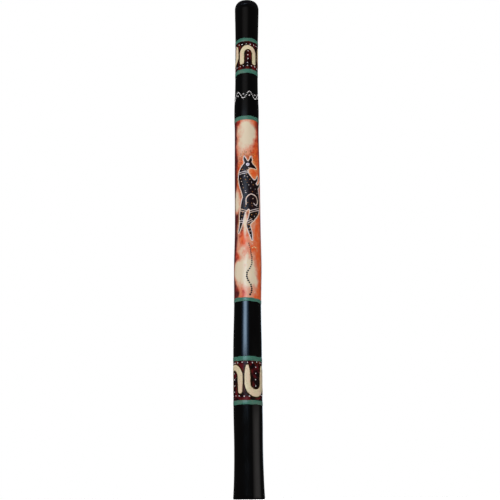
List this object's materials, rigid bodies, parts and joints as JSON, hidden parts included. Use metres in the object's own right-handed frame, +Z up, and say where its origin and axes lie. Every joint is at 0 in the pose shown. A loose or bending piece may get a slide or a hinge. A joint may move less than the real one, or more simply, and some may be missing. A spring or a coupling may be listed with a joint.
{
  "type": "didgeridoo",
  "caption": "Long painted wooden wind tube: slim hollow body split lengthwise and glued, gently flared bell end and a domed mouthpiece ring.",
  "frame": {"origin": "centre of the flat bell rim that the instrument stands on, which is the centre of the bounding box's base", "axes": "+Z runs up the tube from the bell to the mouth, -Y faces the viewer of the painted front, and +X is to that viewer's right; the glued seams lie on +X and -X"},
  "size_m": [0.0684, 0.0684, 1.2],
  "materials": {
    "black_lacquered_wood": "gloss black lacquer over bamboo, bare inside",
    "black_lacquered_lip": "gloss black lacquer over turned hardwood",
    "teal_paint": "hand-painted acrylic under gloss varnish",
    "cream_paint": "raised dots and strokes under gloss varnish",
    "figure_paint": "raised dark acrylic under gloss varnish",
    "sunset_paint": "sponged orange, salmon and cream ground under gloss varnish",
    "maroon_paint": "mottled maroon and purple-black ground under gloss varnish"
  },
  "bodies": {
    "root": {"front_half_shell": "black_lacquered_wood", "back_half_shell": "black_lacquered_wood", "mouthpiece_ring": "black_lacquered_lip"}
  },
  "joints": []
}
